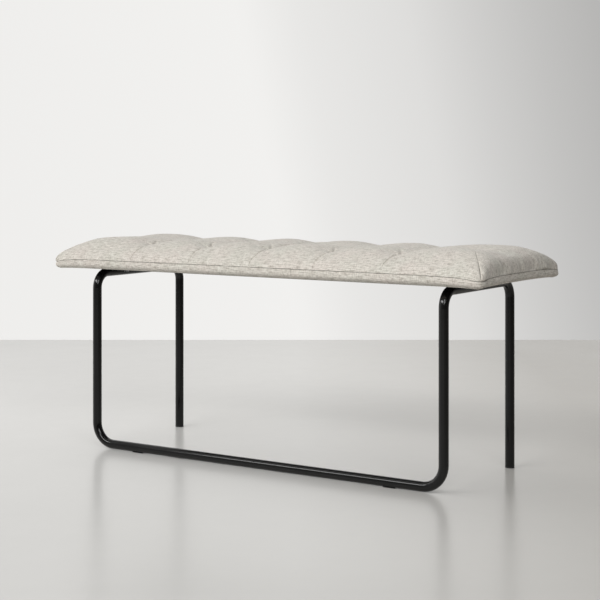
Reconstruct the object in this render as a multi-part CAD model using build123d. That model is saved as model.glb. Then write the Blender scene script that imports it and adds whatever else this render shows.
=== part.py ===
from build123d import *
import math
import os

# An upholstered bench on one continuous bent steel tube.
# Millimetres. +X runs along the bench, -Y is the front, +Z is up.
# The origin is on the floor, under the middle of the seat.

# ---- Frame ----
tube_diameter = 20.0
tube_wall = 1.5
leg_spacing = 880.0  # between the centres of the left and right legs
frame_depth = 304.0  # between the centres of the front and rear legs
rail_height = 395.0  # centre of the side rails under the seat
top_bend_radius = 34.0  # centre line, leg to side rail
bottom_bend_radius = 46.0  # centre line, front leg to floor rail
floor_gap = 1.0  # the glides lift the floor rail this far

# ---- Feet ----
cap_flange = 3.0  # thickness of the plastic under each rear tube end
cap_edge = 0.8
cap_plug_length = 18.0
cap_rib_count = 3
cap_rib_height = 2.0
cap_clearance = 0.05  # rib to tube bore
cap_plug_inset = 0.8  # plug surface below its ribs
glide_length = 26.0
glide_wrap = 1.2  # thickness of the saddle around the rail
glide_top = 2.0  # the saddle reaches this high above the floor
glide_stud_diameter = 5.0
glide_stud_length = 6.0  # from the rail's outer surface, upwards
glide_stud_clearance = 0.1
glide_from_leg = 120.0  # glide centre to leg centre, along the floor rail

# ---- Mounting tabs, their welds and the seat bolts ----
tab_thickness = 3.0
tab_width = 40.0  # along the side rail
tab_reach = 34.0  # inwards from the rail
tab_corner = 8.0
tab_from_middle = 80.0  # tab centre, front and rear of the middle
bolt_from_rail = 26.0  # bolt centre to side rail centre
bolt_diameter = 6.0
bolt_head_width = 10.0  # across flats
bolt_head_height = 4.0
bolt_end_depth = 2.5  # the bolt stops this far below the top of the board
bolt_hole_clearance = 0.3
washer_diameter = 14.0
washer_thickness = 1.6
spring_washer_diameter = 11.0
spring_washer_thickness = 1.6
spring_washer_slit = 1.2
weld_leg = 3.0
weld_root = 5.0  # how far the lower bead is drawn into the rail before it is trimmed

# ---- Seat ----
seat_length = 1082.0
seat_depth = 384.0
seat_corner_radius = 20.0
dust_cover_thickness = 0.6
turn_under_thickness = 1.5
board_thickness = 15.0
board_inset = 18.0  # board edge inside the seat outline
board_corner_radius = 16.0
cover_thickness = 1.5
batting_thickness = 8.0
seam_height = 430.0  # perimeter seam between the top cover and the band
band_bulge = 3.0  # the band is this much fuller in its middle than at its edges
turn_under_width = 38.0  # band fabric folded under the board
dust_cover_inset = 30.0  # dust cover edge inside the seat outline
# The top's roundness: height above the seam, and inset from the seat outline.
crown_stations = ((0.0, 3.0), (14.0, 8.0), (24.0, 22.0), (32.0, 60.0), (40.0, 120.0))

# ---- Tufts, nuts and staples ----
tuft_columns = 5
tuft_pitch = 159.0
tuft_row_offset = 98.0  # tuft rows, front and rear of the middle
dimple_radius = 26.0  # at the top of the crown
dimple_floor = 458.0  # height of the cover at the middle of a dimple
dimple_tip_radius = 2.0
tie_diameter = 2.0
tie_hole_diameter = 6.0  # in the board
anchor_diameter = 22.0
anchor_thickness = 1.4
anchor_edge = 0.45
nut_flange_diameter = 19.0
nut_flange_thickness = 1.2
nut_barrel_diameter = 8.0
nut_barrel_length = 10.0
nut_bore_clearance = 0.05
prong_length = 6.0
prong_width = 2.5
prong_thickness = 1.0
staple_crown = 10.0
staple_wire = 0.7
staple_leg = 8.0
staple_pitch = 60.0
staple_edge_distance = 16.0  # staple row inside the board edge

# ---- Worked out from the above ----
tube_radius = tube_diameter / 2
bore_radius = tube_radius - tube_wall
leg_x = leg_spacing / 2
leg_y = frame_depth / 2
floor_rail_height = floor_gap + tube_radius
rail_top = rail_height + tube_radius
dust_cover_top = rail_top + dust_cover_thickness
board_bottom = dust_cover_top + turn_under_thickness
board_top = board_bottom + board_thickness
bolt_x = leg_x - bolt_from_rail
bolt_places = [(sx * bolt_x, sy * tab_from_middle) for sx in (-1, 1) for sy in (-1, 1)]
tuft_places = [
    ((column - (tuft_columns - 1) / 2) * tuft_pitch, side * tuft_row_offset)
    for side in (-1, 1)
    for column in range(tuft_columns)
]


def write(name, shape):
    """Write one node, keeping separate solids separate."""
    solids = shape.solids()
    node = solids[0] if len(solids) == 1 else Compound(children=list(solids))
    node.label = name
    export_step(node, f"parts/{name}.step")


def cylinder_at(x, y, bottom, radius, height):
    """An upright cylinder that stands on the height given."""
    return extrude(Plane.XY.offset(bottom) * Pos(x, y) * Circle(radius), height)


def slab(length, depth, radius, bottom, height):
    """A rounded rectangular plate, centred on the bench."""
    return extrude(Plane.XY.offset(bottom) * RectangleRounded(length, depth, radius), height)


# ---------------------------------------------------------------- frame and feet


def frame_path():
    """The tube's centre line, from the left rear foot round to the right rear foot."""
    corners = [
        (-leg_x, leg_y, cap_flange),
        (-leg_x, leg_y, rail_height),
        (-leg_x, -leg_y, rail_height),
        (-leg_x, -leg_y, floor_rail_height),
        (leg_x, -leg_y, floor_rail_height),
        (leg_x, -leg_y, rail_height),
        (leg_x, leg_y, rail_height),
        (leg_x, leg_y, cap_flange),
    ]
    side = [top_bend_radius, top_bend_radius, bottom_bend_radius]
    return FilletPolyline(*corners, radius=side + side[::-1])


def frame_tube():
    """One bent tube, with a hole under the floor rail for each glide's stud."""
    path = frame_path()
    section = Plane(path @ 0, z_dir=path % 0) * (Circle(tube_radius) - Circle(bore_radius))
    tube = sweep(section, path=path)
    for side in (-1, 1):
        tube -= cylinder_at(side * (leg_x - glide_from_leg), -leg_y, 0.0,
                            glide_stud_diameter / 2, floor_rail_height)
    return tube


def foot_cap(side):
    """A plastic plug with sealing ribs, closing a rear leg and standing on the floor."""
    x, y = side * leg_x, leg_y
    cap = fillet(cylinder_at(x, y, 0.0, tube_radius, cap_flange).edges().group_by(Axis.Z)[0],
                 cap_edge)
    rib_radius = bore_radius - cap_clearance
    cap += cylinder_at(x, y, cap_flange, rib_radius - cap_plug_inset, cap_plug_length)
    rib_pitch = cap_plug_length / cap_rib_count
    for rib in range(cap_rib_count):
        bottom = cap_flange + (rib + 0.5) * rib_pitch - cap_rib_height / 2
        cap += cylinder_at(x, y, bottom, rib_radius, cap_rib_height)
    return cap


def rail_glide(side):
    """A saddle under the floor rail, flat on the floor, held by a stud in the rail."""
    x = side * (leg_x - glide_from_leg)
    along_rail = Plane(origin=(x - glide_length / 2, -leg_y, floor_rail_height), z_dir=(1, 0, 0))
    saddle = extrude(along_rail * Circle(tube_radius + glide_wrap), glide_length)
    saddle &= Pos(x, -leg_y, glide_top / 2) * Box(glide_length, 2 * tube_diameter, glide_top)
    saddle -= extrude(along_rail * Circle(tube_radius), glide_length)
    stud_radius = glide_stud_diameter / 2 - glide_stud_clearance
    stud_bottom = floor_gap / 2
    saddle += cylinder_at(x, -leg_y, stud_bottom, stud_radius, glide_stud_length + stud_bottom)
    return saddle


# ---------------------------------------------------------------- tabs, welds and bolts


def tab_outer_x():
    """Where a tab's outer edge meets the shoulder of the side rail."""
    drop = tube_radius - tab_thickness
    return leg_x - math.sqrt(tube_radius**2 - drop**2)


def mounting_tab(side_x, side_y):
    """A flat steel tab, level with the rail's top, with one bolt hole."""
    outer = tab_outer_x()
    inner = leg_x - tube_radius - tab_reach
    middle = side_x * (outer + inner) / 2
    tab = extrude(
        Plane.XY.offset(rail_top - tab_thickness)
        * Pos(middle, side_y * tab_from_middle)
        * Rectangle(outer - inner, tab_width),
        tab_thickness,
    )
    inner_edges = tab.edges().filter_by(Axis.Z).sort_by(lambda edge: abs(edge.center().X))[:2]
    tab = fillet(inner_edges, tab_corner)
    hole_radius = bolt_diameter / 2 + bolt_hole_clearance
    return tab - cylinder_at(side_x * bolt_x, side_y * tab_from_middle,
                             rail_top - tab_thickness, hole_radius, tab_thickness)


def tab_weld(side_x, side_y):
    """The bead above and the bead below one tab, against the side rail."""
    y = side_y * tab_from_middle
    shoulder = tab_outer_x()
    length = tab_width - 2 * weld_leg
    tab_bottom = rail_top - tab_thickness
    across = Plane(origin=(side_x * shoulder, y - length / 2, 0), x_dir=(side_x, 0, 0),
                   z_dir=(0, 1, 0))
    up = 1 if side_x < 0 else -1
    upper = Polyline((0, up * rail_top), (0, up * tab_bottom), (weld_leg, up * tab_bottom),
                     close=True)
    lower = Polyline((-weld_leg, up * tab_bottom), (weld_root, up * tab_bottom),
                     (weld_root, up * (tab_bottom - weld_leg)),
                     (0, up * (tab_bottom - weld_leg)), close=True)
    beads = [extrude(across * make_face(outline), length) for outline in (upper, lower)]
    rail = extrude(Plane(origin=(side_x * leg_x, -leg_y, rail_height), z_dir=(0, 1, 0))
                   * Circle(tube_radius), frame_depth)
    return [bead - rail for bead in beads]


def seat_bolt(x, y):
    """A hex bolt, from below the washers up into its tee nut."""
    head_top = rail_top - tab_thickness - washer_thickness - spring_washer_thickness
    head_bottom = head_top - bolt_head_height
    head = extrude(Plane.XY.offset(head_bottom) * Pos(x, y)
                   * RegularPolygon(bolt_head_width / 2, 6, major_radius=False), bolt_head_height)
    shank_top = board_top - bolt_end_depth
    shank = cylinder_at(x, y, head_top, bolt_diameter / 2, shank_top - head_top)
    return head + shank


def flat_washer(x, y):
    """A plain washer under the tab."""
    bottom = rail_top - tab_thickness - washer_thickness
    hole_radius = bolt_diameter / 2 + bolt_hole_clearance
    ring = cylinder_at(x, y, bottom, washer_diameter / 2, washer_thickness)
    return ring - cylinder_at(x, y, bottom, hole_radius, washer_thickness)


def spring_washer(x, y):
    """A split washer, pressed flat under the plain one."""
    bottom = rail_top - tab_thickness - washer_thickness - spring_washer_thickness
    hole_radius = bolt_diameter / 2 + bolt_hole_clearance
    ring = cylinder_at(x, y, bottom, spring_washer_diameter / 2, spring_washer_thickness)
    ring -= cylinder_at(x, y, bottom, hole_radius, spring_washer_thickness)
    slit = Pos(x, y + spring_washer_diameter / 2, bottom + spring_washer_thickness / 2)
    return ring - slit * Box(spring_washer_slit, spring_washer_diameter, spring_washer_thickness)


def tee_nut(x, y):
    """A flanged nut on top of the board, with four prongs driven into the wood."""
    nut = cylinder_at(x, y, board_top, nut_flange_diameter / 2, nut_flange_thickness)
    nut += cylinder_at(x, y, board_top - nut_barrel_length, nut_barrel_diameter / 2,
                       nut_barrel_length)
    prong_radius = nut_flange_diameter / 2 - prong_thickness
    for quarter in range(4):
        prong = Pos(prong_radius, 0, board_top - prong_length / 2)
        prong *= Box(prong_thickness, prong_width, prong_length)
        nut += Pos(x, y) * Rot(0, 0, 45 + 90 * quarter) * prong
    nut_bore_radius = bolt_diameter / 2 + nut_bore_clearance
    return nut - cylinder_at(x, y, board_top - nut_barrel_length, nut_bore_radius,
                             nut_barrel_length + nut_flange_thickness)


# ---------------------------------------------------------------- seat


def tie_holes(radius, bottom, height):
    """Upright holes for the ten tuft ties."""
    return [cylinder_at(x, y, bottom, radius, height) for x, y in tuft_places]


def bolt_holes(radius, bottom, height):
    """Upright holes for the four seat bolts."""
    return [cylinder_at(x, y, bottom, radius, height) for x, y in bolt_places]


def seat_outline(height, inset):
    """The seat's outline at a height, drawn in from the outer outline."""
    return Plane.XY.offset(height) * RectangleRounded(
        seat_length - 2 * inset, seat_depth - 2 * inset, seat_corner_radius)


def dimple(x, y, depth):
    """The cone that a tie pulls into the top, this deep inside the cover's outer surface.

    It is drawn twice as tall and twice as wide as the dimple, so that it passes right
    through the crown.
    """
    height = 2 * (seam_height + crown_stations[-1][0] - dimple_floor)
    cone = Cone(dimple_tip_radius + depth, 2 * dimple_radius + depth, height,
                align=(Align.CENTER, Align.CENTER, Align.MIN))
    return Pos(x, y, dimple_floor - depth) * cone


def crown(depth):
    """The domed and dimpled top above the seam, this deep inside the cover's outer surface."""
    dome = loft([seat_outline(seam_height + rise - (depth if rise else 0.0), inset + depth)
                 for rise, inset in crown_stations], ruled=True)
    return dome - [dimple(x, y, depth) for x, y in tuft_places]


def band_block(depth, bottom):
    """The bulging sides below the seam, this deep inside the cover's outer surface."""
    middle = (bottom + seam_height) / 2
    return loft([seat_outline(bottom, band_bulge + depth), seat_outline(middle, depth),
                 seat_outline(seam_height, band_bulge + depth)], ruled=True)


def seat_top_cover():
    """The woven top panel, a thin dome above the perimeter seam."""
    return crown(0.0) - crown(cover_thickness)


def seat_border_band():
    """The woven band below the seam, turned under the edge of the board."""
    band = band_block(0.0, board_bottom) - band_block(cover_thickness, board_bottom)
    outer = seat_outline(dust_cover_top, band_bulge)
    opening = seat_outline(dust_cover_top, board_inset + turn_under_width)
    turn_under = extrude(outer - opening, turn_under_thickness)
    for hole in bolt_holes(bolt_diameter, dust_cover_top, turn_under_thickness):
        turn_under -= hole
    return band + turn_under


def board_blank():
    """The plywood base before drilling."""
    return slab(seat_length - 2 * board_inset, seat_depth - 2 * board_inset,
                board_corner_radius, board_bottom, board_thickness)


def staple(x, y, turned):
    """One staple, its crown against the turned-under fabric and its legs in the board."""
    crown_bar = Pos(0, 0, dust_cover_top + staple_wire / 2)
    crown_bar *= Box(staple_crown, staple_wire, staple_wire)
    leg_height = turn_under_thickness + staple_leg
    shape = crown_bar
    for side in (-1, 1):
        leg_place = Pos(side * (staple_crown - staple_wire) / 2, 0,
                        dust_cover_top + leg_height / 2)
        shape += leg_place * Box(staple_wire, staple_wire, leg_height)
    return Pos(x, y) * Rot(0, 0, turned) * shape


def staple_run(length):
    """Evenly spaced places along one edge, centred on it."""
    count = int(length // staple_pitch)
    return [(place - (count - 1) / 2) * staple_pitch for place in range(count)]


def cover_staples():
    """All the staples, one run along each edge of the board."""
    inset = board_inset + staple_edge_distance
    half_length = seat_length / 2 - inset
    half_depth = seat_depth / 2 - inset
    long_runs = [staple(x, side * half_depth, 0)
                 for side in (-1, 1) for x in staple_run(2 * half_length)]
    end_runs = [staple(side * half_length, y, 90)
                for side in (-1, 1) for y in staple_run(2 * half_depth)]
    return long_runs + end_runs


def seat_board(nuts, staples):
    """The plywood base, drilled for bolts, nuts and ties, with a slot for each staple leg."""
    board = board_blank()
    cuts = bolt_holes(nut_barrel_diameter / 2, board_bottom, board_thickness)
    cuts += tie_holes(tie_hole_diameter / 2, board_bottom, board_thickness)
    return board - cuts - nuts - staples


def batting():
    """Wadding over the foam and round the board's edge, just under the cover."""
    outer = crown(cover_thickness) + band_block(cover_thickness, board_bottom)
    hollow = crown(cover_thickness + batting_thickness)
    hollow += band_block(cover_thickness + batting_thickness, board_top)
    wadding = outer - hollow - board_blank()
    return wadding - tie_holes(tie_diameter / 2, board_top, seat_depth)


def foam_pad():
    """The foam block on the board, hollowed for the nut flanges and drilled for the ties."""
    depth = cover_thickness + batting_thickness
    foam = crown(depth) + band_block(depth, board_top)
    foam -= bolt_holes(nut_flange_diameter / 2, board_top, nut_flange_thickness)
    return foam - tie_holes(tie_diameter / 2, board_top, seat_depth)


def tuft_tie(x, y):
    """A twine tie from just under the cover's dimple down to its anchor."""
    top = dimple_floor - cover_thickness
    return cylinder_at(x, y, board_bottom, tie_diameter / 2, top - board_bottom)


def tuft_anchor(x, y):
    """A plastic disc under the board, which the tie is knotted to."""
    disc = cylinder_at(x, y, board_bottom - anchor_thickness, anchor_diameter / 2,
                       anchor_thickness)
    return fillet(disc.edges().group_by(Axis.Z)[0], anchor_edge)


def dust_cover():
    """The thin non-woven sheet that closes the seat's underside."""
    sheet = slab(seat_length - 2 * dust_cover_inset, seat_depth - 2 * dust_cover_inset,
                 board_corner_radius, rail_top, dust_cover_thickness)
    return sheet - bolt_holes(bolt_diameter / 2, rail_top, dust_cover_thickness)


# ---------------------------------------------------------------- all nodes

os.makedirs("parts", exist_ok=True)

write("frame_tube", frame_tube())
for side_name, side in (("left", -1), ("right", 1)):
    write(f"rear_{side_name}_foot_cap", foot_cap(side))
    write(f"front_{side_name}_glide", rail_glide(side))
    for row_name, row in (("front", -1), ("rear", 1)):
        write(f"{row_name}_{side_name}_tab", mounting_tab(side, row))

welds = [bead for sx in (-1, 1) for sy in (-1, 1) for bead in tab_weld(sx, sy)]
tee_nuts = [tee_nut(x, y) for x, y in bolt_places]
staples = cover_staples()
write("tab_welds", Compound(children=welds))
write("seat_bolts", Compound(children=[seat_bolt(x, y) for x, y in bolt_places]))
write("flat_washers", Compound(children=[flat_washer(x, y) for x, y in bolt_places]))
write("spring_washers", Compound(children=[spring_washer(x, y) for x, y in bolt_places]))
write("tee_nuts", Compound(children=tee_nuts))

write("seat_board", seat_board(tee_nuts, staples))
write("foam_pad", foam_pad())
write("batting", batting())
write("seat_top_cover", seat_top_cover())
write("seat_border_band", seat_border_band() - staples)
write("cover_staples", Compound(children=staples))
write("tuft_ties", Compound(children=[tuft_tie(x, y) for x, y in tuft_places]))
write("tuft_anchors", Compound(children=[tuft_anchor(x, y) for x, y in tuft_places]))
write("dust_cover", dust_cover())
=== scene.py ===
import math
import bpy
import numpy as np
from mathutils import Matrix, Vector


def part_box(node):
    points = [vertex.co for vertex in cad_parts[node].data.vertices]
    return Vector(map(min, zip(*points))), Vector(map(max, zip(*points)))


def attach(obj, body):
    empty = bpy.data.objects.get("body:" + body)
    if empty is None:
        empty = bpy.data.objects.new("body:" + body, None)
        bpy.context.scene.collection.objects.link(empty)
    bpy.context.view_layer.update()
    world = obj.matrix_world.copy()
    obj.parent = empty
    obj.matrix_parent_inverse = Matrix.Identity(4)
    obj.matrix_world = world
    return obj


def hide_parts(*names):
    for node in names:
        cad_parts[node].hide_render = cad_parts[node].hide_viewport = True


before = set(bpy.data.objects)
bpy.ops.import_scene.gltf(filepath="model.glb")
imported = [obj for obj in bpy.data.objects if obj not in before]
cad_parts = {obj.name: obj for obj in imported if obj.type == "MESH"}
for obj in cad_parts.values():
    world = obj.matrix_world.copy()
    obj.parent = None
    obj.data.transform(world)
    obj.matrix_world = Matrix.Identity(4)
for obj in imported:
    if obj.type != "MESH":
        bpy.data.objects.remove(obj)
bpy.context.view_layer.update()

# An upholstered bench: a blind-tufted woven cushion on one bent black tube.
# Metres. +X runs along the bench, -Y is the front, +Z is up; the origin is on the floor.

# ---- From the frame ----
_, BAND_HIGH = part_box("seat_border_band")
_, TIES_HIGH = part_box("tuft_ties")
_, BOARD_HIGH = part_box("seat_board")
_, DUST_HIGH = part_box("dust_cover")
SEAM_INSET = 0.0012  # the seam lies this far inside the CAD band's fullest line
HALF_LENGTH = BAND_HIGH[0] - SEAM_INSET  # of the seam, from the middle
HALF_DEPTH = BAND_HIGH[1] - SEAM_INSET
TIE_RADIUS = 0.001  # of the CAD's tie cords
TUFT_X = TIES_HIGH[0] - TIE_RADIUS  # outermost tuft column
TUFT_Y = TIES_HIGH[1] - TIE_RADIUS  # tuft rows, front and rear
TUFT_COLUMNS = 5
TUFT_PITCH = 2 * TUFT_X / (TUFT_COLUMNS - 1)
TUFT_XS = [TUFT_PITCH * (k - (TUFT_COLUMNS - 1) / 2) for k in range(TUFT_COLUMNS)]

# ---- Cushion shape ----
SEAM_HEIGHT = 0.4275  # perimeter seam, middle of the long sides
END_SEAM_DROP = 0.002  # the seam is this much lower at the ends
CORNER_SEAM_DROP = 0.008  # and this much lower again at the corners
END_NEARNESS = 16  # exponents that keep those drops close to an end or a side
SIDE_NEARNESS = 6
SIDE_PULL = 0.008  # the sides are this far inside the corners, half way along
END_BOW = 6  # exponent of the ends' pull as it fades inwards
SIDE_BOW = 3  # exponent of the long sides' pull as it fades towards the corners
CORNER_RADIUS = 0.020
PILLOW_RISE = 0.0466  # crest above the perimeter seam
SIDE_ROUNDNESS = 1.5  # exponent of the rounded long sides
END_ROUNDNESS = 2.43  # exponent of the rounded left end
RIGHT_END_ROUNDNESS = 3.0  # the right end is stuffed a little fuller
END_ROUND_LENGTH = 0.105
CORNER_FULLNESS = 2.3  # exponent that joins the rounded sides and ends at a corner
LEAST_LIFT = 1e-3  # keeps the edges' zeros out of the negative powers
MIDDLE_SETTLE = 0.0042  # the middle strip lies lower than the pillows beside it
PLEAT_DEPTH = 0.0090  # valley along a pleat, below the pillows beside it
PLEAT_REACH = 0.0315
CHANNEL_DEPTH = 0.0050  # soft valley between the tufts of a column
CHANNEL_REACH = 0.050
CHANNEL_SHARE = 3  # a pleat becomes the soft valley in a third of the way to the middle
TUFT_DEPTH = 0.0080  # extra dip at each tuft
TUFT_REACH = 0.030

# ---- Band ----
BAND_BOTTOM = 0.4062  # height of its lower edge
BAND_CORNER_DROP = 0.0030  # the lower edge is this much lower at the corners
BAND_BULGE = 0.0010  # its fullest line stands this far outside the seam
BAND_SHOULDER = 0.85  # exponent of the band's rounding above its fullest line
BAND_TAPER = 1.3  # and below it
SEAM_TUCK = 0.0018  # its upper edge lies this far inside the seam
BOTTOM_TUCK = 0.0135  # and its lower edge this far
TURN_UNDER = 0.032  # it ends this far inside the seam, under the board
TURN_STEPS = (0.3, 0.6, 1.0)  # shares of the way from the lower edge to that end

# ---- Filling, measured down from the cover ----
WADDING_DEPTH = 0.003
FOAM_DEPTH = 0.010
LEAST_FILLING = 0.001  # the crown is never lower than this above the board
RAY_HEIGHT = 1.0  # rays that look for the cover start here and go straight down

# ---- Cloth ----
RELAX_FRAMES = 20
RELAX_QUALITY = 6
RELAX_PRESSURE = 4.0
COVER_MASS = 0.35
COVER_STRETCH = 12.0
COVER_SHEAR = 6.0
COVER_BEND = 0.4
RELAX_CAP = 0.0032  # farthest a point may move while the cover is blown up
RELAX_LOWER = 0.0022  # how much flatter the cover starts
SPARE_CLOTH = -0.006  # cut this much larger than the shape it covers
HELD_RADIUS = 0.006  # the cover is held this close to a tuft, a pleat or the seam
HELD_FADE = 0.022  # and moves freely this much farther away

# ---- Sewing ----
SEAM_GAP = 0.0004  # the band starts this far below the top's edge
THREAD_RADIUS = 0.0005
DART_THREAD_RADIUS = 0.0008
THREAD_SIDES = 6
DART_POINTS = 40
DART_THREAD_TAPER = 0.6  # share of its radius that a corner's thread loses on its way up

# ---- Folds and puckers ----
PLEAT_CUT = 0.0024  # depth of a pleat's line
PLEAT_PINCH = 2.6  # this many times as much is added where it starts at its tuft
PLEAT_PINCH_REACH = 0.24  # as a share of the way from the tuft to the seam
PLEAT_WIDTH = 0.0015
PLEAT_WANDER = 0.0022  # a pleat strays this far from straight
WANDER_SPACING = 0.03  # between one turn and the next
PLEAT_SEED = 10
PIT_DEPTH = 0.0075
PIT_RADIUS = 0.0090
# the folds that run out of a tuft: turn, length, depth and width
FOLDS = ((0.0, 0.034, 0.0028, 0.0036), (1.0, 0.036, 0.0033, 0.0030),
         (2.14, 0.048, 0.0062, 0.0030), (3.14, 0.045, 0.0042, 0.0060))
FOLD_FADE = 0.8  # exponent of a fold's fading along its length
DART_START = (0.536, 0.187)  # the mitred corner line, from the corner in over the top
DART_END = (0.482, 0.101)
DART_CUT = 0.0026
DART_WIDTH = 0.0018
GATHER_DEPTH = 0.0044  # upright gathers above the end seams
GATHER_REACH = 0.034  # height in which they fade
GATHER_ROOM = 0.05  # they are within this distance of an end
GATHER_RIPPLES = ((0.0105, 31), (0.021, 32))  # spacing and seed of each size of gather
GATHER_SHARE = 0.6  # what each size gives
PUCKER_DEPTH = 0.0009  # small puckers above the side seams
PUCKER_REACH = 0.010
PUCKER_ROOM = 0.04
PUCKER_SPACING = 0.0065
PUCKER_SEED = 33
BAND_PUCKER = 0.0011
BAND_PUCKER_SPACING = PUCKER_SPACING * 1.6
BAND_PUCKER_SEED = 41
BAND_SWELL = 0.0007
BAND_SWELL_SPACING = 0.075
BAND_SWELL_SEED = 42
FREE_RISE = 0.003  # creases are at full depth from this height above the seam
KNOTS = 4096  # random values in a ripple before it repeats

# ---- Weave, on the cloth's own coordinates, and other patterns ----
WEFT_STRETCH = (62, 430, 60)  # noise cells to the metre: long along a thread, short across it
WARP_STRETCH = (430, 110, 60)
SPECK_STRETCH = (900, 900, 60)
WEAVE_SCALE = 310.0  # a thread every millimetre
THREE_MILLIMETRES = 105.0  # scale of the plywood's layers and the dust cover's points

# ---- Mesh density ----
END_STEPS = 30
BAY_STEPS = 18
SIDE_STEPS = 14
MIDDLE_STEPS = 18
BAND_STEPS = 12
EDGE_CROWDING = 1.25  # exponent that crowds the steps at a rounded edge
BAY_EVENNESS = 0.30  # 1 spaces the steps evenly, 0 crowds them at the tufts
MIDDLE_EVENNESS = 0.45

# ---- Camera and room ----
CAMERA_PLACE = (1.7316, -2.6598, 0.6427)
CAMERA_TURN = math.radians(32.92)
CAMERA_LENS = 86.83
SENSOR_WIDTH = 36.0
CAMERA_SHIFT = -0.2271
FLOOR_FAR_EDGE = 5.28  # from the camera, along its view
FLOOR_REACH = 9  # and this far to the left, to the right and behind
# the wall's tone, with painted shade that darkens it to the right, by the weighted sum of a view
# direction's right, ahead and up parts
WALL_WEIGHTS = (1.0, 0.0, 0.2)
WALL_SHADE_STOPS = ((-0.20, 0.863), (-0.02, 0.883), (0.02, 0.807), (0.095, 0.73), (0.136, 0.63),
              (0.177, 0.545), (0.22, 0.474))
# the tone of the room's light on the bench and the floor, by another such sum
ROOM_WEIGHTS = (-0.5, 0.75, 0.0)
ROOM_STOPS = ((-0.7, 0.05), (0.1, 0.30), (0.7, 1.12))
ROOM_STRENGTH = 0.85
ROOM_TINT = (1.0, 0.992, 0.975)  # a tone's red, green and blue
LIGHT_TARGET = (0, 0, 0.35)
# each light's name, place, size and power
LIGHTS = (("key", (-1.0, -3.0, 2.3), (3.2, 0.55), 60),
          ("strip", (-3.3, -1.4, 1.9), (0.22, 1.6), 6),
          ("fill", (2.2, -2.5, 2.4), (2.0, 1.8), 54),
          ("top", (-0.9, 0.1, 3.2), (2.6, 2.6), 10))
# painted light and shade on the floor's tone, darkest to the right and nearer the camera and
# lighter farther ahead, by metres to the right of the bench and by metres ahead of it
FLOOR_SHADE_ACROSS = ((-0.7, (0.92, 0.92, 0.92)), (0.0, (1.0, 1.0, 0.995)),
                (0.35, (0.85, 0.84, 0.825)), (0.75, (0.62, 0.60, 0.57)))
FLOOR_LIGHT_AND_SHADE_AHEAD = ((-1.0, (0.80, 0.80, 0.80)), (-0.5, (0.90, 0.90, 0.90)),
               (0.6, (1.17, 1.17, 1.17)), (1.8, (1.28, 1.28, 1.28)))
FLOOR_SHARE = 0.25  # of a ramp for each metre, with the bench's middle half way along it


# ---------------------------------------------------------------- camera, floor, light


def add_camera():
    """A level camera at the bench's front right, framed by its vertical shift."""
    data = bpy.data.cameras.new("camera")
    data.lens = CAMERA_LENS
    data.sensor_width = SENSOR_WIDTH
    data.shift_y = CAMERA_SHIFT
    camera = bpy.data.objects.new("camera", data)
    camera.location = CAMERA_PLACE
    camera.rotation_euler = (math.radians(90), 0, CAMERA_TURN)
    bpy.context.scene.collection.objects.link(camera)
    bpy.context.scene.camera = camera


def new_mesh_object(name, points, faces):
    """An object from plain points and faces, shaded smooth."""
    mesh = bpy.data.meshes.new(name)
    mesh.from_pydata([tuple(p) for p in points], [], faces)
    mesh.update()
    mesh.polygons.foreach_set("use_smooth", [True] * len(mesh.polygons))
    piece = bpy.data.objects.new(name, mesh)
    bpy.context.scene.collection.objects.link(piece)
    return piece


def add_floor(material):
    """A wide floor whose far edge is square to the camera's view."""
    forward = np.array([-math.sin(CAMERA_TURN), math.cos(CAMERA_TURN), 0.0])
    right = np.array([math.cos(CAMERA_TURN), math.sin(CAMERA_TURN), 0.0])
    eye = np.array([CAMERA_PLACE[0], CAMERA_PLACE[1], 0.0])
    corners = [eye + forward * ahead + right * aside
               for ahead, aside in ((FLOOR_FAR_EDGE, -FLOOR_REACH), (FLOOR_FAR_EDGE, FLOOR_REACH),
                                    (-FLOOR_REACH, FLOOR_REACH), (-FLOOR_REACH, -FLOOR_REACH))]
    floor = new_mesh_object("floor", corners, [(3, 2, 1, 0)])
    floor.data.materials.append(material)


def add_area_light(name, place, size, power):
    """A soft rectangular light that faces the bench."""
    data = bpy.data.lights.new(name, "AREA")
    data.shape = "RECTANGLE"
    data.size, data.size_y = size
    data.energy = power
    light = bpy.data.objects.new(name, data)
    light.location = place
    aim = Vector(LIGHT_TARGET) - Vector(place)
    light.rotation_euler = aim.to_track_quat("-Z", "Y").to_euler()
    bpy.context.scene.collection.objects.link(light)


def direction_ramp(nodes, links, weights, stops):
    """A ramp of tones over the weighted sum of a direction's right, ahead and up parts."""
    place = nodes.new("ShaderNodeTexCoord")
    turn = nodes.new("ShaderNodeMapping")
    weigh = nodes.new("ShaderNodeVectorMath")
    spread = nodes.new("ShaderNodeMath")
    ramp = nodes.new("ShaderNodeValToRGB")
    turn.inputs["Rotation"].default_value = (0, 0, -CAMERA_TURN)
    weigh.operation = "DOT_PRODUCT"
    weigh.inputs[1].default_value = weights
    spread.operation = "MULTIPLY_ADD"
    spread.inputs[1].default_value = 0.5
    spread.inputs[2].default_value = 0.5
    elements = ramp.color_ramp.elements
    while len(elements) < len(stops):
        elements.new(0.5)
    for element, (place_value, tone) in zip(elements, stops):
        element.position = 0.5 + 0.5 * place_value
        element.color = (*(tone * share for share in ROOM_TINT), 1)
    links.new(place.outputs["Generated"], turn.inputs["Vector"])
    links.new(turn.outputs["Vector"], weigh.inputs[0])
    links.new(weigh.outputs["Value"], spread.inputs[0])
    links.new(spread.outputs[0], ramp.inputs["Fac"])
    return ramp.outputs["Color"]


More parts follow.
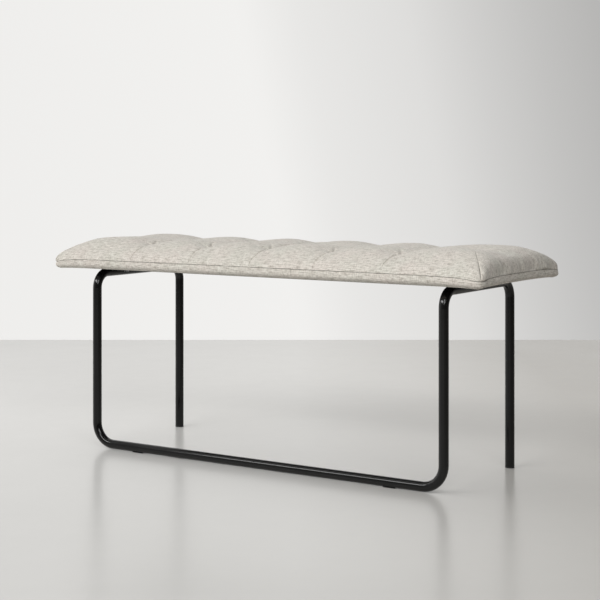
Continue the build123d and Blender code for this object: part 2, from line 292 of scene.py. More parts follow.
def add_room():
    """A pale wall with painted shade that darkens it to the right, in a room darker in front and
    to the right.
    """
    world = bpy.data.worlds.new("room")
    world.use_nodes = True
    bpy.context.scene.world = world
    nodes, links = world.node_tree.nodes, world.node_tree.links
    nodes.clear()
    output = nodes.new("ShaderNodeOutputWorld")
    wall = nodes.new("ShaderNodeBackground")
    surround = nodes.new("ShaderNodeBackground")
    choose = nodes.new("ShaderNodeMixShader")
    path = nodes.new("ShaderNodeLightPath")
    # the wall seen by the camera carries painted shade, darker to the right
    links.new(direction_ramp(nodes, links, WALL_WEIGHTS, WALL_SHADE_STOPS), wall.inputs["Color"])
    links.new(direction_ramp(nodes, links, ROOM_WEIGHTS, ROOM_STOPS), surround.inputs["Color"])
    surround.inputs["Strength"].default_value = ROOM_STRENGTH
    links.new(path.outputs["Is Camera Ray"], choose.inputs["Fac"])
    links.new(surround.outputs[0], choose.inputs[1])
    links.new(wall.outputs[0], choose.inputs[2])
    links.new(choose.outputs[0], output.inputs["Surface"])


def add_lights():
    """A large soft key in front, a narrow strip at the left, a fill and a wide light above."""
    bpy.context.scene.view_settings.view_transform = "Standard"
    for name, place, size, power in LIGHTS:
        add_area_light(name, place, size, power)


# ---------------------------------------------------------------- material building blocks


class Nodes:
    """A material's node tree, with short calls for the nodes used here."""

    def __init__(self, name):
        self.material = bpy.data.materials.new(name)
        self.material.use_nodes = True
        tree = self.material.node_tree
        self.nodes, self.links = tree.nodes, tree.links
        self.shader = self.nodes["Principled BSDF"]

    def add(self, kind, **values):
        """A node, with its inputs set by name."""
        node = self.nodes.new(kind)
        for key, value in values.items():
            node.inputs[key.replace("_", " ")].default_value = value
        return node

    def link(self, output, target):
        """Joins an output to an input."""
        self.links.new(output, target)

    def object_place(self, scale=(1, 1, 1), turn=(0, 0, 0)):
        """Object coordinates, scaled and turned."""
        place = self.nodes.new("ShaderNodeTexCoord")
        mapping = self.add("ShaderNodeMapping", Scale=scale, Rotation=turn)
        self.link(place.outputs["Object"], mapping.inputs["Vector"])
        return mapping.outputs["Vector"]

    def cloth_place(self, scale=(1, 1, 1)):
        """The piece's own unrolled cloth coordinates, scaled."""
        place = self.nodes.new("ShaderNodeAttribute")
        place.attribute_name = "cloth"
        mapping = self.add("ShaderNodeMapping", Scale=scale)
        self.link(place.outputs["Vector"], mapping.inputs["Vector"])
        return mapping.outputs["Vector"]

    def noise(self, place, scale, detail, roughness=0.5):
        """A noise texture's value."""
        node = self.add("ShaderNodeTexNoise", Scale=scale, Detail=detail, Roughness=roughness)
        self.link(place, node.inputs["Vector"])
        return node.outputs["Fac"]

    def ramp(self, value, stops):
        """A colour ramp with the stops given as (position, colour)."""
        node = self.nodes.new("ShaderNodeValToRGB")
        elements = node.color_ramp.elements
        while len(elements) < len(stops):
            elements.new(0.5)
        for element, (position, colour) in zip(elements, stops):
            element.position = position
            element.color = (*colour, 1)
        self.link(value, node.inputs["Fac"])
        return node.outputs["Color"]

    def math(self, operation, *values):
        """A math node on numbers or outputs."""
        node = self.nodes.new("ShaderNodeMath")
        node.operation = operation
        for socket, value in zip(node.inputs, values):
            if isinstance(value, (int, float)):
                socket.default_value = value
            else:
                self.link(value, socket)
        return node.outputs[0]

    def mix(self, blend, amount, first, second):
        """Two colour outputs mixed by a fixed amount."""
        node = self.nodes.new("ShaderNodeMix")
        node.data_type = "RGBA"
        node.blend_type = blend
        node.inputs[0].default_value = amount
        self.link(first, node.inputs[6])
        self.link(second, node.inputs[7])
        return node.outputs[2]

    def bump(self, height, distance, strength, below=None):
        """Bump from a height, stacked on another bump if given."""
        node = self.add("ShaderNodeBump", Strength=strength, Distance=distance)
        self.link(height, node.inputs["Height"])
        if below is not None:
            self.link(below, node.inputs["Normal"])
        return node.outputs["Normal"]

    def wave(self, place, axis, scale, distortion=0.0, detail=0.0, detail_scale=1.0):
        """Parallel sine bands across one axis, 3.18 to the metre for each unit of scale."""
        node = self.add("ShaderNodeTexWave", Scale=scale, Distortion=distortion, Detail=detail,
                        Detail_Scale=detail_scale)
        node.wave_type = "BANDS"
        node.bands_direction = axis
        node.wave_profile = "SIN"
        self.link(place, node.inputs["Vector"])
        return node.outputs["Fac"]

    def colour(self, value, stops):
        """Ramps the shader's colour, with the stops given as (position, colour)."""
        self.link(self.ramp(value, stops), self.shader.inputs["Base Color"])

    def roughness(self, value, stops):
        """Ramps the shader's roughness, with the stops given as (position, roughness)."""
        greys = [(position, (rough, rough, rough)) for position, rough in stops]
        self.link(self.ramp(value, greys), self.shader.inputs["Roughness"])

    def relief(self, *bump_values):
        """Sets the shader's normal from a bump."""
        self.link(self.bump(*bump_values), self.shader.inputs["Normal"])


# ---------------------------------------------------------------- materials


def linen_weave():
    """A heathered plain weave: short slubby threads both ways, fine relief and a little fuzz."""
    n = Nodes("linen_weave")
    weft = n.noise(n.cloth_place(WEFT_STRETCH), 1.0, 3.0, 0.62)
    warp = n.noise(n.cloth_place(WARP_STRETCH), 1.0, 3.0, 0.62)
    specks = n.noise(n.cloth_place(SPECK_STRETCH), 1.0, 2.0, 0.6)
    patches = n.noise(n.cloth_place(), 13.0, 3.0, 0.55)
    pale, mid, dark = (0.82, 0.79, 0.735), (0.63, 0.595, 0.54), (0.33, 0.30, 0.26)
    weft_colour = n.ramp(weft, [(0.36, dark), (0.48, mid), (0.62, pale)])
    warp_colour = n.ramp(warp, [(0.35, dark), (0.47, mid), (0.64, pale)])
    threads = n.mix("MIX", 0.40, weft_colour, warp_colour)
    speck = n.ramp(specks, [(0.30, (0.80, 0.79, 0.77)), (0.50, (1.0, 1.0, 1.0)),
                            (0.72, (1.10, 1.09, 1.07))])
    toned = n.mix("MULTIPLY", 0.4, threads, speck)
    tint = n.ramp(patches, [(0.36, (0.975, 0.99, 0.97)), (0.64, (1.025, 1.0, 0.995))])
    n.link(n.mix("MULTIPLY", 1.0, toned, tint), n.shader.inputs["Base Color"])
    over = n.wave(n.cloth_place(), "X", WEAVE_SCALE, 1.2, 2.0, 3.0)
    under = n.wave(n.cloth_place(), "Y", WEAVE_SCALE, 1.2, 2.0, 3.0)
    weave = n.math("MAXIMUM", over, under)
    slubs = n.bump(n.math("ADD", warp, weft), 0.0005, 0.6)
    n.relief(weave, 0.00018, 0.5, slubs)
    n.roughness(weave, [(0.0, 0.95), (1.0, 0.84)])
    n.shader.inputs["Specular IOR Level"].default_value = 0.18
    n.shader.inputs["Sheen Weight"].default_value = 0.22
    n.shader.inputs["Sheen Roughness"].default_value = 0.5
    return n.material


def black_paint():
    """Satin black powder coat with a fine orange peel and slight rubbing."""
    n = Nodes("black_paint")
    place = n.object_place()
    peel = n.noise(place, 900.0, 2.0)
    broad = n.noise(place, 14.0, 3.0)
    n.colour(broad, [(0.35, (0.0045, 0.0045, 0.0044)), (0.7, (0.0075, 0.0074, 0.0071))])
    n.roughness(broad, [(0.3, 0.10), (0.72, 0.16)])
    n.relief(peel, 0.00005, 0.25)
    n.shader.inputs["Specular IOR Level"].default_value = 0.38
    return n.material


def floor_finish():
    """A pale, slightly glossy sealed floor, with painted light and shade: darkest to the right
    and nearer the camera, lighter farther back.
    """
    n = Nodes("floor_finish")
    place = n.object_place()
    clouds = n.noise(place, 2.2, 5.0, 0.6)
    fine = n.noise(place, 26.0, 4.0, 0.6)
    both = n.math("MULTIPLY_ADD", fine, 0.25, clouds)
    surface = n.ramp(both, [(0.2, (0.733, 0.725, 0.705)), (1.0, (0.773, 0.765, 0.745))])
    axes = n.nodes.new("ShaderNodeSeparateXYZ")
    n.link(n.object_place(turn=(0, 0, -CAMERA_TURN)), axes.inputs[0])
    # painted light and shade: the floor's colour is scaled down to the right and near the camera
    # and up farther back
    for axis, stops in (("X", FLOOR_SHADE_ACROSS), ("Y", FLOOR_LIGHT_AND_SHADE_AHEAD)):
        spread = n.math("MULTIPLY_ADD", axes.outputs[axis], FLOOR_SHARE, 0.5)
        painted_light_and_shade = n.ramp(spread, [(0.5 + FLOOR_SHARE * metres, tone) for metres, tone in stops])
        surface = n.mix("MULTIPLY", 1.0, surface, painted_light_and_shade)
    n.link(surface, n.shader.inputs["Base Color"])
    n.roughness(clouds, [(0.0, 0.17), (1.0, 0.30)])
    n.shader.inputs["Specular IOR Level"].default_value = 0.20
    return n.material


def black_plastic():
    """Moulded black plastic with a fine grain."""
    n = Nodes("black_plastic")
    grain = n.noise(n.object_place(), 1600.0, 2.0)
    n.colour(grain, [(0.3, (0.012, 0.012, 0.012)), (0.7, (0.02, 0.02, 0.02))])
    n.roughness(grain, [(0.3, 0.5), (0.7, 0.62)])
    n.relief(grain, 0.00005, 0.4)
    return n.material


def zinc_steel():
    """Bright zinc plate, softly mottled."""
    n = Nodes("zinc_steel")
    mottle = n.noise(n.object_place(), 260.0, 3.0)
    n.shader.inputs["Metallic"].default_value = 0.95
    n.colour(mottle, [(0.3, (0.50, 0.51, 0.53)), (0.7, (0.68, 0.69, 0.70))])
    n.roughness(mottle, [(0.3, 0.28), (0.7, 0.42)])
    return n.material


def birch_plywood():
    """Plywood: long grain on the faces and thin glued layers at the edges."""
    n = Nodes("birch_plywood")
    grain = n.noise(n.object_place((6, 90, 1)), 1.0, 4.0, 0.6)
    layers = n.wave(n.object_place(), "Z", THREE_MILLIMETRES)
    face = n.ramp(grain, [(0.3, (0.56, 0.42, 0.27)), (0.7, (0.70, 0.56, 0.38))])
    glue = n.ramp(layers, [(0.0, (0.72, 0.70, 0.66)), (0.5, (1.0, 1.0, 1.0))])
    n.link(n.mix("MULTIPLY", 0.6, face, glue), n.shader.inputs["Base Color"])
    n.roughness(grain, [(0.3, 0.6), (0.7, 0.75)])
    n.relief(grain, 0.0002, 0.4)
    return n.material


def nonwoven():
    """Black spun-bonded sheet with its small embossed points."""
    n = Nodes("nonwoven")
    place = n.object_place()
    fibres = n.noise(place, 700.0, 4.0, 0.7)
    across, along = (n.wave(place, axis, THREE_MILLIMETRES) for axis in ("X", "Y"))
    dots = n.math("MULTIPLY", across, along)
    n.colour(fibres, [(0.3, (0.012, 0.012, 0.013)), (0.72, (0.045, 0.045, 0.047))])
    n.roughness(fibres, [(0.3, 0.86), (0.7, 0.97)])
    n.relief(dots, 0.0003, 0.6, n.bump(fibres, 0.0002, 0.5))
    return n.material


def soft_filling(name, low, high, scale, relief):
    """A pale mottled open texture between two colours."""
    n = Nodes(name)
    cells = n.noise(n.object_place(), scale, 5.0, 0.7)
    n.colour(cells, [(0.3, low), (0.7, high)])
    n.roughness(cells, [(0.3, 0.88), (0.7, 0.98)])
    n.relief(cells, relief, 0.8)
    return n.material


def white_wadding():
    """White polyester wadding."""
    return soft_filling("wadding", (0.78, 0.78, 0.76), (0.90, 0.90, 0.88), 160.0, 0.002)


def yellow_foam():
    """Yellowish seat foam."""
    return soft_filling("foam", (0.66, 0.60, 0.42), (0.80, 0.74, 0.54), 420.0, 0.001)


def thread_and_seam_shade():
    """Dull taupe sewing thread, dark enough to stand for painted shade in the sunken seam and
    along the corner lines.
    """
    n = Nodes("thread_and_seam_shade")
    tone = n.noise(n.object_place(), 180.0, 3.0)
    # the thread's dark tone is partly its own colour and partly painted shade of the seam's
    # hollow
    n.colour(tone, [(0.38, (0.12, 0.11, 0.095)), (0.62, (0.36, 0.335, 0.295))])
    n.roughness(tone, [(0.3, 0.85), (0.7, 0.95)])
    return n.material


def waxed_twine():
    """Twisted twine with a slanting lay."""
    n = Nodes("waxed_twine")
    lay = n.wave(n.object_place(turn=(0.7, 0, 0)), "Z", 400.0)
    n.colour(lay, [(0.0, (0.52, 0.47, 0.38)), (1.0, (0.74, 0.70, 0.61))])
    n.roughness(lay, [(0.0, 0.8), (1.0, 0.6)])
    n.relief(lay, 0.0002, 0.6)
    return n.material


# ---------------------------------------------------------------- cushion shape


def eased(count, evenness):
    """Steps from 0 to 1 that crowd together at both ends."""
    t = np.linspace(0.0, 1.0, count + 1)
    return evenness * t + (1 - evenness) * (1 - np.cos(math.pi * t)) / 2


def edge_steps(count):
    """Steps from 0 at a rounded edge, very close together there, to 1."""
    return eased(count, 0.0) ** EDGE_CROWDING


def length_stations():
    """Fractions of the half length, from the left end to the right end."""
    tuft = TUFT_X / HALF_LENGTH
    right_end = 1 - (1 - tuft) * edge_steps(END_STEPS)[::-1]
    bays = []
    for start, end in zip(TUFT_XS, TUFT_XS[1:]):
        bays.extend(((start + (end - start) * eased(BAY_STEPS, BAY_EVENNESS))[:-1]) / HALF_LENGTH)
    return np.concatenate([-right_end[::-1][:-1], bays, right_end])


def depth_stations():
    """Fractions of the half depth, from the front edge to the rear edge."""
    tuft = TUFT_Y / HALF_DEPTH
    rear = 1 - (1 - tuft) * edge_steps(SIDE_STEPS)[::-1]
    middle = (tuft * (2 * eased(MIDDLE_STEPS, MIDDLE_EVENNESS) - 1))[1:-1]
    return np.concatenate([-rear[::-1], middle, rear])


def outline(u, v):
    """Plan position for fractions of the half length and half depth."""
    a, b = np.abs(u), np.abs(v)
    x = u * (HALF_LENGTH - SIDE_PULL * (1 - b**2) * a**END_BOW)
    y = v * (HALF_DEPTH - SIDE_PULL * (1 - a**SIDE_BOW) * b**2)
    past_x = np.clip((np.abs(x) - HALF_LENGTH + CORNER_RADIUS) / CORNER_RADIUS, 0, 1)
    past_y = np.clip((np.abs(y) - HALF_DEPTH + CORNER_RADIUS) / CORNER_RADIUS, 0, 1)
    round_x = past_x * (1 - np.sqrt(1 - past_y**2 / 2)) * CORNER_RADIUS
    round_y = past_y * (1 - np.sqrt(1 - past_x**2 / 2)) * CORNER_RADIUS
    return x - np.sign(x) * round_x, y - np.sign(y) * round_y


def nearness(x, y):
    """How near each place is to an end and to a side, from 0 to 1 at the seam itself."""
    to_end = np.clip(np.abs(x) / HALF_LENGTH, 0, 1) ** END_NEARNESS
    to_side = np.clip(np.abs(y) / HALF_DEPTH, 0, 1) ** SIDE_NEARNESS
    return to_end, to_side


def seam_height(x, y):
    """Height of the perimeter seam, lower at the ends and lowest at the corners."""
    to_end, to_side = nearness(x, y)
    return SEAM_HEIGHT - to_end * (END_SEAM_DROP + CORNER_SEAM_DROP * to_side)


def rounded(distance, length, exponent):
    """A rounded edge's height, from 0 at the edge to 1 at the given length."""
    left = 1 - np.clip(distance / length, 0, 1)
    return np.clip(1 - left**exponent, 0, 1) ** (1 / exponent)


def valleys(x, y):
    """How far the top is pulled down by the tufts, their pleats and the soft valleys."""
    depth = np.zeros_like(x)
    to_edge = np.clip((np.abs(y) - TUFT_Y) / (HALF_DEPTH - TUFT_Y), 0, 1)
    between = np.clip(1 - np.abs(y) / TUFT_Y, 0, 1)
    for tuft_x in TUFT_XS:
        across = np.abs(x - tuft_x)
        pleat = PLEAT_DEPTH * np.exp(-across / PLEAT_REACH) * (1 - to_edge**2)
        channel = CHANNEL_DEPTH * np.exp(-((across / CHANNEL_REACH) ** 2))
        outside = np.abs(y) > TUFT_Y
        blend = np.clip(between * CHANNEL_SHARE, 0, 1)
        depth += np.where(outside, pleat, pleat * (1 - blend) + channel * blend)
        for side in (-1, 1):
            reach = np.hypot(x - tuft_x, y - side * TUFT_Y)
            depth += TUFT_DEPTH * np.exp(-reach / TUFT_REACH)
    return depth


def top_height(u, v, x, y):
    """Height of the cushion's top for fractions (u, v) at the plan position (x, y)."""
    end_distance = (1 - np.abs(u)) * HALF_LENGTH
    side_distance = (1 - np.abs(v)) * HALF_DEPTH
    end_roundness = np.where(u > 0, RIGHT_END_ROUNDNESS, END_ROUNDNESS)
    lift_end = rounded(end_distance, END_ROUND_LENGTH, end_roundness)
    lift_side = rounded(side_distance, HALF_DEPTH - TUFT_Y, SIDE_ROUNDNESS)
    lift_end, lift_side = np.maximum(lift_end, LEAST_LIFT), np.maximum(lift_side, LEAST_LIFT)
    joined = lift_end**-CORNER_FULLNESS + lift_side**-CORNER_FULLNESS - 1
    lifted = np.minimum(lift_end, lift_side) > 2 * LEAST_LIFT
    dome = np.where(lifted, joined ** (-1 / CORNER_FULLNESS), 0)
    inward = np.clip(1 - np.abs(y) / TUFT_Y, 0, 1)
    crest = PILLOW_RISE - MIDDLE_SETTLE * np.sin(math.pi / 2 * inward) ** 2
    return seam_height(x, y) + dome * crest - dome**2 * valleys(x, y)


def arc_length(points, axis):
    """Distance travelled along one axis of a grid of points, from its middle."""
    steps = np.linalg.norm(np.diff(points, axis=axis), axis=-1)
    pad = [(0, 0), (0, 0)]
    pad[axis] = (1, 0)
    run = np.cumsum(np.pad(steps, pad), axis=axis)
    middle = np.take(run, [run.shape[axis] // 2], axis=axis)
    return run - middle


def store_cloth_place(mesh, values):
    """Keeps the unrolled cloth coordinates on a mesh's points."""
    attribute = mesh.attributes.new("cloth", "FLOAT_VECTOR", "POINT")
    attribute.data.foreach_set("vector", np.asarray(values, dtype=np.float32).ravel())


def grid_faces(rows, columns, wrap=False):
    """Quads of a grid whose points run along each row in turn."""
    last = columns if wrap else columns - 1
    return [(r * columns + c, r * columns + (c + 1) % columns,
             (r + 1) * columns + (c + 1) % columns, (r + 1) * columns + c)
            for r in range(rows - 1) for c in range(last)]


def top_grid():
    """The top's points as a grid, rows from front to rear."""
    u, v = np.meshgrid(length_stations(), depth_stations())
    x, y = outline(u, v)
    z = top_height(u, v, x, y)
    return np.stack([x, y, z], axis=-1)


def rim(points):
    """The grid's outer points, anticlockwise from the front left corner."""
    return np.concatenate([points[0, :-1], points[:-1, -1], points[-1, :0:-1], points[:0:-1, 0]])


def rim_normals(edge):
    """Outward directions in plan at each point of a closed rim."""
    along = np.roll(edge, -1, axis=0) - np.roll(edge, 1, axis=0)
    outward = np.stack([along[:, 1], -along[:, 0], np.zeros(len(edge))], axis=-1)
    return outward / np.linalg.norm(outward, axis=1, keepdims=True)


def smooth(part):
    """Shares from 0 to 1, eased at both ends."""
    return part * part * (3 - 2 * part)


def ripple(run, spacing, seed):
    """Seeded smooth ups and downs between -1 and 1 along a run, one knot to each spacing."""
    knots = np.random.default_rng(seed).uniform(-1, 1, KNOTS)
    place = run / spacing
    low = np.floor(place).astype(int)
    part = smooth(place - low)
    return knots[low % KNOTS] * (1 - part) + knots[(low + 1) % KNOTS] * part


def read_points(piece):
    """A piece's points as an array."""
    flat = np.empty(len(piece.data.vertices) * 3, dtype=np.float32)
    piece.data.vertices.foreach_get("co", flat)
    return flat.reshape(-1, 3).astype(float)


def write_points(piece, points):
    """Puts an array of points back on a piece."""
    piece.data.vertices.foreach_set("co", points.astype(np.float32).ravel())
    piece.data.update()


def edge_room(x, y):
    """Distances from each place to the seam, along the bench and across it."""
    to_end = np.abs(outline(np.sign(x), y / HALF_DEPTH)[0]) - np.abs(x)
    to_side = np.abs(outline(x / HALF_LENGTH, np.sign(y))[1]) - np.abs(y)
    return to_end, to_side


def free_share(points):
    """How freely the cover's points move: 0 at the seam, tufts and pleats, 1 away from them."""
    x, y = points[:, 0], points[:, 1]
    to_end, to_side = edge_room(x, y)
    nearest = np.minimum(to_end, to_side)
    for tuft_x in TUFT_XS:
        short = np.clip(TUFT_Y - np.abs(y), 0, None)
        nearest = np.minimum(nearest, np.hypot(x - tuft_x, short))
    return smooth(np.clip((nearest - HELD_RADIUS) / HELD_FADE, 0, 1))


def add_cloth(cover, held):
    """Makes the cover a cloth under pressure, held at the given points."""
    group = cover.vertex_groups.new(name="held")
    group.add(held, 1.0, "REPLACE")
    modifier = cover.modifiers.new("cover", "CLOTH")
    settings = modifier.settings
    settings.vertex_group_mass = "held"
    settings.quality = RELAX_QUALITY
    settings.mass = COVER_MASS
    settings.tension_stiffness = settings.compression_stiffness = COVER_STRETCH
    settings.shear_stiffness = COVER_SHEAR
    settings.bending_stiffness = COVER_BEND
    settings.use_pressure = True
    settings.uniform_pressure_force = RELAX_PRESSURE
    settings.shrink_min = settings.shrink_max = SPARE_CLOTH
    settings.effector_weights.gravity = 0
    modifier.point_cache.frame_start = 1
    modifier.point_cache.frame_end = RELAX_FRAMES


def run_cloth(cover):
    """Runs the cloth to its last frame, gives its points there and removes it again."""
    for step in range(1, RELAX_FRAMES + 1):
        bpy.context.scene.frame_set(step)
    graph = bpy.context.evaluated_depsgraph_get()
    mesh = cover.evaluated_get(graph).to_mesh()
    flat = np.empty(len(mesh.vertices) * 3, dtype=np.float32)
    mesh.vertices.foreach_get("co", flat)
    cover.evaluated_get(graph).to_mesh_clear()
    cover.modifiers.clear()
    cover.vertex_groups.clear()
    bpy.context.scene.frame_set(1)
    return flat.reshape(-1, 3)


def relax_cover(cover):
    """Blows the cover up as cloth between the lines that hold it, then keeps the result."""
    shaped = read_points(cover)
    free = free_share(shaped)
    start = shaped.copy()
    start[:, 2] -= RELAX_LOWER * free
    write_points(cover, start)
    add_cloth(cover, [int(k) for k in np.flatnonzero(free == 0)])
    moved = run_cloth(cover) - shaped
    far = np.linalg.norm(moved, axis=1, keepdims=True)
    moved *= free[:, None] * np.minimum(1, RELAX_CAP / np.maximum(far, 1e-9))
    write_points(cover, shaped + moved)


def line_cut(x, y, start, turn, length, depth, width):
    """How deep a fold cuts that runs out of a point at an angle and dies away."""
    ahead = (x - start[0]) * math.cos(turn) + (y - start[1]) * math.sin(turn)
    aside = (y - start[1]) * math.cos(turn) - (x - start[0]) * math.sin(turn)
    fade = np.clip(1 - ahead / length, 0, 1) ** FOLD_FADE * np.clip(ahead / width + 1, 0, 1)
    return depth * fade * np.exp(-((aside / width) ** 2))


def tuft_cuts(x, y):
    """How deep the tufts' pits, the folds round them and the pleats cut into the top."""
    cut = np.zeros_like(x)
    for column, tuft_x in enumerate(TUFT_XS):
        for side in (-1, 1):
            outside = np.clip((side * y - TUFT_Y) / PIT_RADIUS + 1, 0, 1)
            away = np.clip((side * y - TUFT_Y) / (HALF_DEPTH - TUFT_Y), 0, 1)
            wander = PLEAT_WANDER * ripple(y, WANDER_SPACING, PLEAT_SEED + 2 * column + side)
            path = tuft_x + wander * 4 * away * (1 - away)
            pinch = 1 + PLEAT_PINCH * np.exp(-((away / PLEAT_PINCH_REACH) ** 2))
            cut += PLEAT_CUT * pinch * outside * np.exp(-(((x - path) / PLEAT_WIDTH) ** 2))
            reach = np.hypot(x - tuft_x, y - side * TUFT_Y)
            cut += PIT_DEPTH * np.exp(-((reach / PIT_RADIUS) ** 2))
            for turn, length, depth, width in FOLDS:
                cut += line_cut(x, y, (tuft_x, side * TUFT_Y), -side * turn, length, depth, width)
    return cut


def dart_cuts(x, y):
    """How deep the mitred corner lines cut into the top."""
    run = np.hypot(DART_START[0] - DART_END[0], DART_START[1] - DART_END[1])
    turn = math.atan2(DART_END[1] - DART_START[1], DART_END[0] - DART_START[0])
    return line_cut(np.abs(x), np.abs(y), DART_START, turn, run, DART_CUT, DART_WIDTH)


def crease_top(cover):
    """Presses the pleats, folds, corner lines, gathers and seam puckers into the top."""
    points = read_points(cover)
    x, y, z = points.T
    to_end, to_side = edge_room(x, y)
    rise = np.clip(z - seam_height(x, y), 0, None)
    gather = sum(ripple(y, spacing, seed) * GATHER_SHARE for spacing, seed in GATHER_RIPPLES)
    at_end = np.exp(-rise / GATHER_REACH) * np.clip(1 - to_end / GATHER_ROOM, 0, 1)
    free = np.clip(rise / FREE_RISE, 0, 1)
    pucker = ripple(x, PUCKER_SPACING, PUCKER_SEED) * np.exp(-rise / PUCKER_REACH)
    near_side = np.clip(1 - to_side / PUCKER_ROOM, 0, 1)
    points[:, 0] += np.sign(x) * GATHER_DEPTH * gather * at_end * free
    points[:, 1] += np.sign(y) * PUCKER_DEPTH * pucker * near_side * free
    points[:, 2] -= (tuft_cuts(x, y) + dart_cuts(x, y)) * free
    write_points(cover, points)


def build_top_cover(material):
    """The top panel's smooth shape, before its fine detail."""
    points = top_grid()
    cloth = np.stack([arc_length(points, 1), arc_length(points, 0), points[..., 2] * 0], axis=-1)
    rows, columns = points.shape[:2]
    piece = new_mesh_object("seat_top_panel", points.reshape(-1, 3), grid_faces(rows, columns))
    store_cloth_place(piece.data, cloth.reshape(-1, 3))
    piece.data.materials.append(material)
    return piece


def build_border_band(material):
    """The band from the perimeter seam round to its turned-under edge below the board."""
    edge = rim(top_grid())
    outward = rim_normals(edge)
    to_end, to_side = nearness(edge[:, 0], edge[:, 1])
    top = edge[:, 2] - SEAM_GAP
    bottom = BAND_BOTTOM - BAND_CORNER_DROP * to_end * to_side
    rings = []
    run = np.cumsum(np.linalg.norm(np.roll(edge, -1, axis=0) - edge, axis=1))
    pucker = (BAND_PUCKER * ripple(run, BAND_PUCKER_SPACING, BAND_PUCKER_SEED))[:, None]
    swell = (BAND_SWELL * ripple(run, BAND_SWELL_SPACING, BAND_SWELL_SEED))[:, None]
    for angle in np.linspace(-math.pi / 2, math.pi / 2, BAND_STEPS + 1):
        tuck, exponent = (SEAM_TUCK, BAND_SHOULDER) if angle < 0 else (BOTTOM_TUCK, BAND_TAPER)
        bulge = max(math.cos(angle), 0.0)
        out = -tuck + (tuck + BAND_BULGE) * bulge**exponent
        out = out + bulge * (swell + pucker * math.exp(-(angle + math.pi / 2)))
        ring = edge + outward * out
        ring[:, 2] = (top + bottom) / 2 - (top - bottom) / 2 * math.sin(angle)
        rings.append(ring)
    for step in TURN_STEPS:
        ring = edge - outward * (BOTTOM_TUCK + (TURN_UNDER - BOTTOM_TUCK) * step)
        ring[:, 2] = bottom + (DUST_HIGH[2] - bottom) * min(step * 2, 1)
        rings.append(ring)
    points = np.array(rings)
    faces = grid_faces(len(rings), len(edge), wrap=True)
    piece = new_mesh_object("seat_side_band", points.reshape(-1, 3),
                            [face[::-1] for face in faces])
    down = arc_length(points, 0)
    along = np.tile(run, (len(rings), 1))
    store_cloth_place(piece.data, np.stack([along, down, along * 0], axis=-1).reshape(-1, 3))
    piece.data.materials.append(material)
    return piece


def tube(path, radii, closed=False):
    """Points and faces of a thin tube round a path."""
    ahead = np.roll(path, -1, axis=0) - np.roll(path, 1, axis=0)
    if not closed:
        ahead[0], ahead[-1] = path[1] - path[0], path[-1] - path[-2]
    ahead /= np.linalg.norm(ahead, axis=1, keepdims=True)
    aside = np.cross(ahead, (0.0, 0.0, 1.0))
    aside /= np.linalg.norm(aside, axis=1, keepdims=True)
    upward = np.cross(aside, ahead)
    turns = 2 * math.pi * np.arange(THREAD_SIDES) / THREAD_SIDES
    rings = [point + radius * (math.cos(turn) * side + math.sin(turn) * up)
             for point, radius, side, up in zip(path, radii, aside, upward) for turn in turns]
    count = len(path)
    faces = []
    for ring in range(count if closed else count - 1):
        near, far = ring * THREAD_SIDES, (ring + 1) % count * THREAD_SIDES
        for k in range(THREAD_SIDES):
            after = (k + 1) % THREAD_SIDES
            faces.append((near + k, near + after, far + after, far + k))
    return np.array(rings), faces


def point_on_cover(cover, x, y):
    """The cover's point at a plan position, or None where it has none."""
    hit, place, _, _ = cover.ray_cast(Vector((x, y, RAY_HEIGHT)), Vector((0, 0, -1)))
    return place if hit else None


def build_seam_thread(cover, material):
    """The sewn lines, partly stitching and partly painted shade of the seam's hollow and the
    corner creases: one round the perimeter seam and one along each mitred corner.
    """
    edge = rim(top_grid())
    path = edge - rim_normals(edge) * THREAD_RADIUS
    path[:, 2] -= THREAD_RADIUS
    parts = [tube(path, np.full(len(path), THREAD_RADIUS), closed=True)]
    steps = np.linspace(0, 1, DART_POINTS)
    for side_x in (-1, 1):
        for side_y in (-1, 1):
            line = []
            for step in steps:
                x = side_x * (DART_START[0] + (DART_END[0] - DART_START[0]) * step)
                y = side_y * (DART_START[1] + (DART_END[1] - DART_START[1]) * step)
                place = point_on_cover(cover, x, y)
                if place is not None:
                    line.append(place)
            radii = DART_THREAD_RADIUS * (1 - DART_THREAD_TAPER * np.linspace(0, 1, len(line)))
            parts.append(tube(np.array(line), radii))
    points, faces = [], []
    for part_points, part_faces in parts:
        first = sum(len(group) for group in points)
        points.append(part_points)
        faces += [tuple(first + k for k in face) for face in part_faces]
    piece = new_mesh_object("seam_thread", np.vstack(points), faces)
    piece.data.materials.append(material)
    return piece


def lowest_near(heights):
    """Each grid height lowered to the lowest of it and its eight neighbours."""
    padded = np.pad(heights, 1, mode="edge")
    rows, columns = heights.shape
    shifted = [padded[r:r + rows, c:c + columns] for r in range(3) for c in range(3)]
    return np.min(shifted, axis=0)


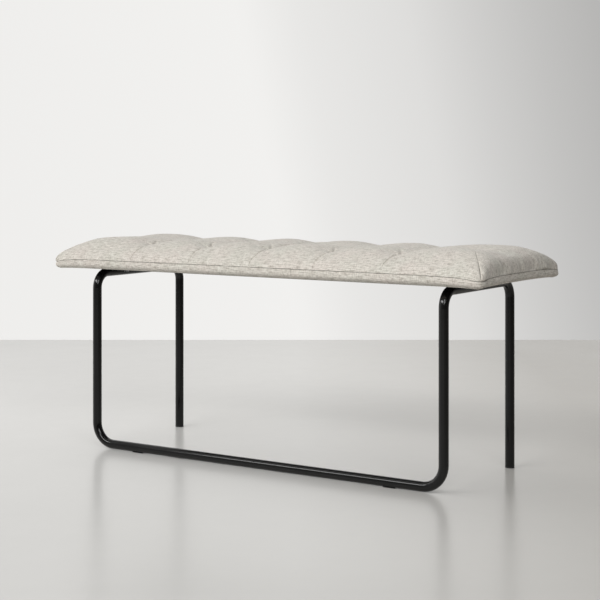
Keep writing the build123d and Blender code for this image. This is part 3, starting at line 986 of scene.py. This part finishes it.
def build_filling(name, cover, depth, bottom, material):
    """A closed pad that follows the finished cover at a depth below it, down to a flat bottom."""
    points = top_grid()
    rows, columns = points.shape[:2]
    heights = points[..., 2].copy()
    for r in range(1, rows - 1):
        for c in range(1, columns - 1):
            place = point_on_cover(cover, points[r, c, 0], points[r, c, 1])
            if place is not None:
                heights[r, c] = place.z
    shrink = np.array([1 - depth / HALF_LENGTH, 1 - depth / HALF_DEPTH, 1.0])
    crown = points * shrink
    crown[..., 2] = np.maximum(lowest_near(heights) - depth, bottom + LEAST_FILLING)
    around = rim(np.arange(rows * columns).reshape(rows, columns))
    base = rim(crown)
    base[:, 2] = bottom
    count = len(base)
    first = rows * columns
    faces = grid_faces(rows, columns)
    faces += [(first + k, first + (k + 1) % count, around[(k + 1) % count], around[k])
              for k in range(count)]
    faces.append(tuple(first + k for k in range(count))[::-1])
    piece = new_mesh_object(name, np.vstack([crown.reshape(-1, 3), base]), faces)
    piece.data.materials.append(material)
    return piece


def subdivide(piece, levels):
    """Applies a smooth subdivision."""
    modifier = piece.modifiers.new("smooth", "SUBSURF")
    modifier.levels = modifier.render_levels = levels
    graph = bpy.context.evaluated_depsgraph_get()
    mesh = bpy.data.meshes.new_from_object(piece.evaluated_get(graph), depsgraph=graph)
    piece.modifiers.clear()
    old = piece.data
    piece.data = mesh
    bpy.data.meshes.remove(old)


# ---------------------------------------------------------------- assemble


def paint_cad_nodes():
    """Gives every carried-over CAD node its procedural material."""
    paint = black_paint()
    zinc = zinc_steel()
    plastic = black_plastic()
    finishes = {"seat_board": birch_plywood(), "dust_cover": nonwoven(),
                "tuft_ties": waxed_twine(), "tuft_anchors": plastic}
    for name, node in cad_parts.items():
        if name in finishes:
            material = finishes[name]
        elif name == "frame_tube" or name.endswith("_tab") or name == "tab_welds":
            material = paint
        elif name.endswith("_foot_cap") or name.endswith("_glide"):
            material = plastic
        else:
            material = zinc
        for place in node.material_slots:
            place.material = material


add_camera()
add_room()
add_lights()
add_floor(floor_finish())
paint_cad_nodes()

linen = linen_weave()
top_cover = build_top_cover(linen)
side_band = build_border_band(linen)
subdivide(top_cover, 1)
relax_cover(top_cover)
subdivide(top_cover, 1)
crease_top(top_cover)
subdivide(side_band, 1)
seam_thread = build_seam_thread(top_cover, thread_and_seam_shade())
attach(seam_thread, "root")
wadding = build_filling("wadding", top_cover, WADDING_DEPTH, BOARD_HIGH[2], white_wadding())
foam = build_filling("foam_block", top_cover, FOAM_DEPTH, BOARD_HIGH[2], yellow_foam())
for piece, node, slot in ((top_cover, "seat_top_cover", "linen_weave"),
                          (side_band, "seat_border_band", "linen_weave"),
                          (wadding, "batting", "polyester_wadding"),
                          (foam, "foam_pad", "foam")):
    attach(piece, "root")
    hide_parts(node)
